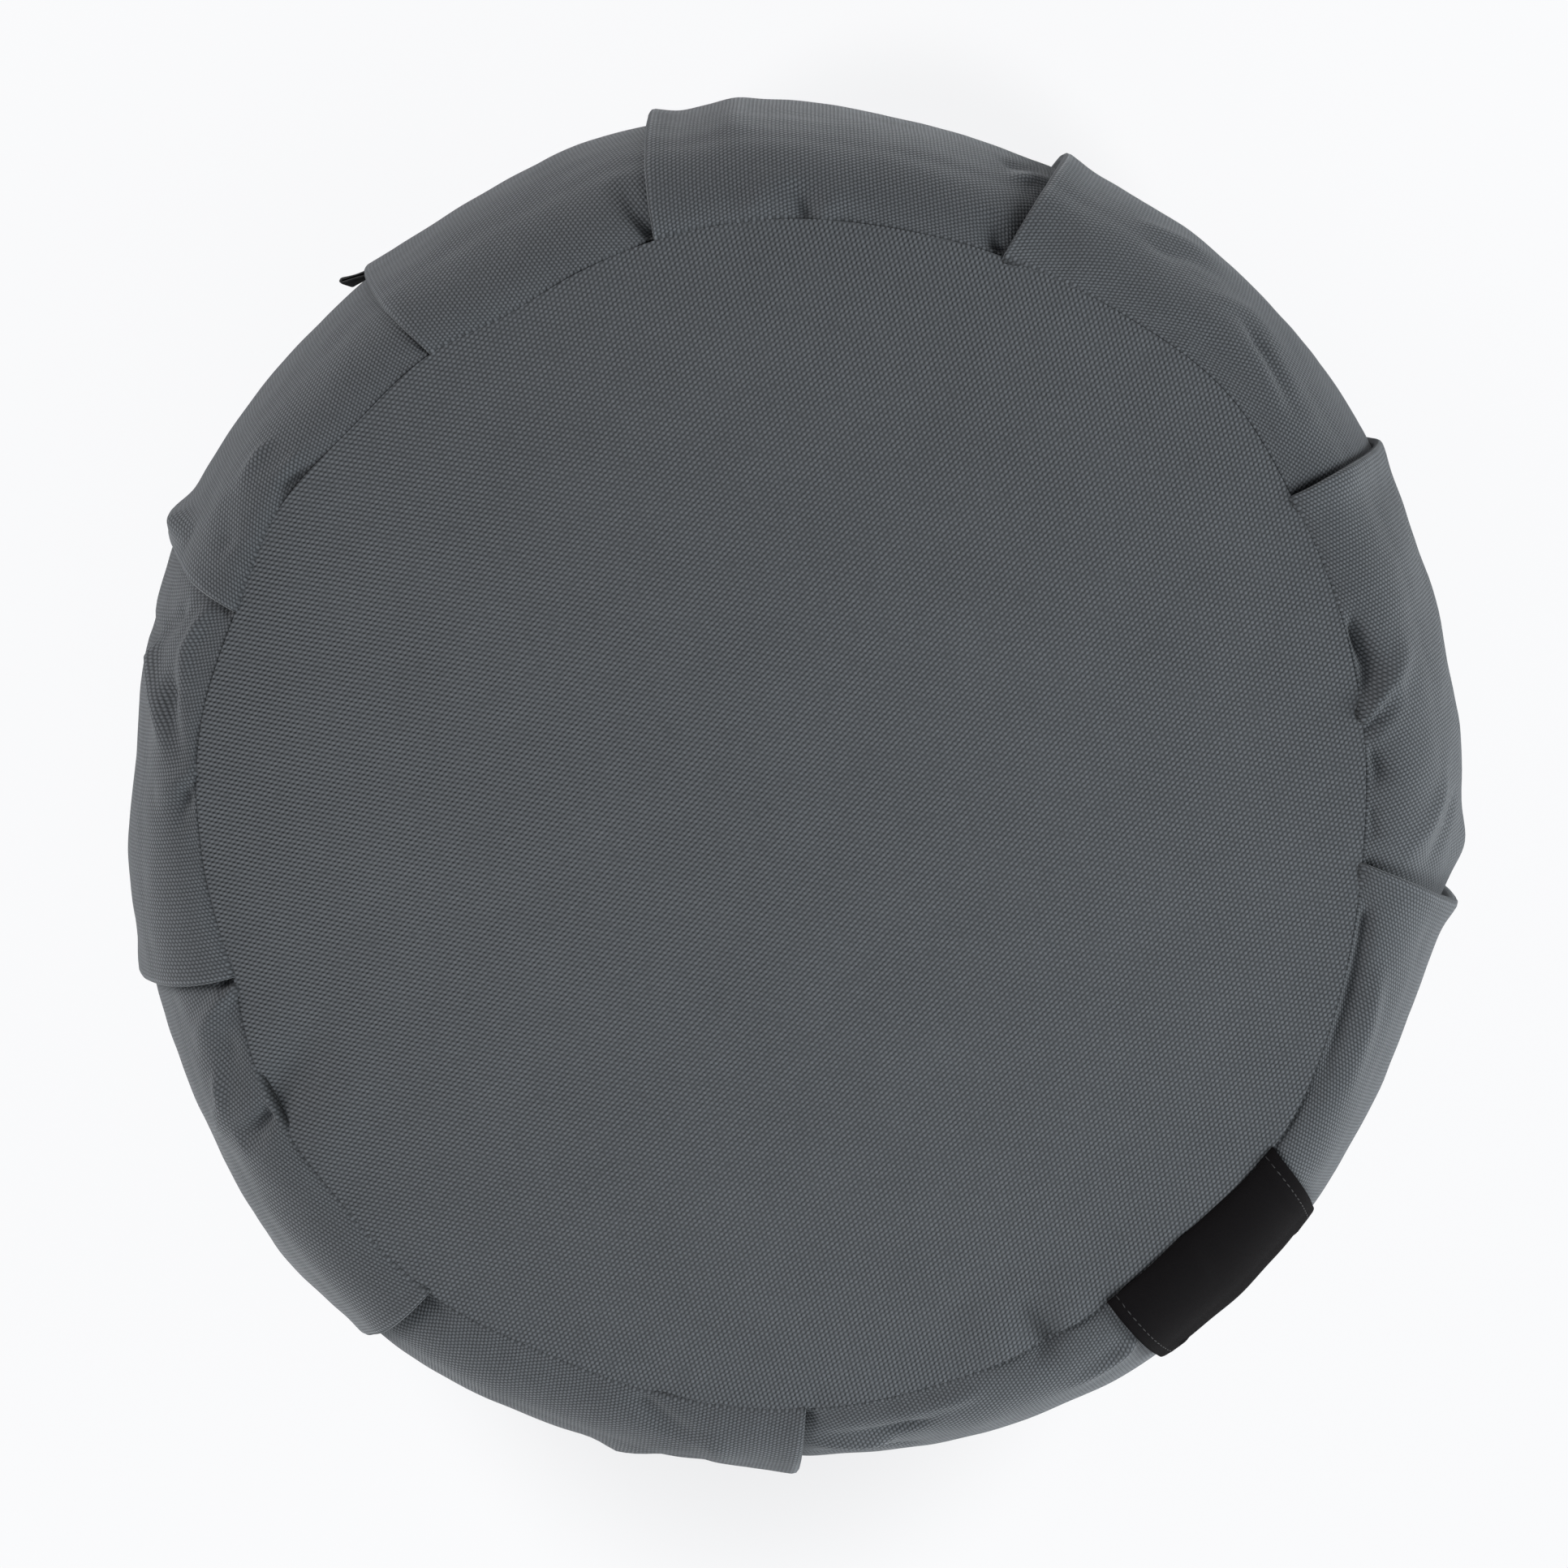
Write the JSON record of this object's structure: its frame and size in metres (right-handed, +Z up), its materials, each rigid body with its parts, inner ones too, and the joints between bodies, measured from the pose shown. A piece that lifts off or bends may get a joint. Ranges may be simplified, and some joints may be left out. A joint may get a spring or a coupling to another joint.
{
  "type": "floor cushion",
  "caption": "Round filled floor cushion for seated meditation: a knife-pleated side band between round panels, a bare label in the top seam and a folded tape tab at the side.",
  "frame": {"origin": "middle of the flat underside, on the floor, below the centre of the round panels", "axes": "+Z up through the middle of both panels; +Y towards the top edge of the reference view and +X towards its right edge, so the label lies between +X and -Y"},
  "size_m": [0.3501, 0.3593, 0.163],
  "materials": {
    "side_band": "dark grey plain-woven canvas, matt",
    "top_panel": "dark grey plain-woven canvas, matt",
    "bottom_panel": "dark grey plain-woven canvas, matt",
    "side_label": "black woven label, matt",
    "tape_loop": "black woven tape, matt"
  },
  "bodies": {
    "root": {"side_band": "side_band", "top_panel": "top_panel", "bottom_panel": "bottom_panel", "side_label": "side_label", "tape_loop": "tape_loop"}
  },
  "joints": []
}
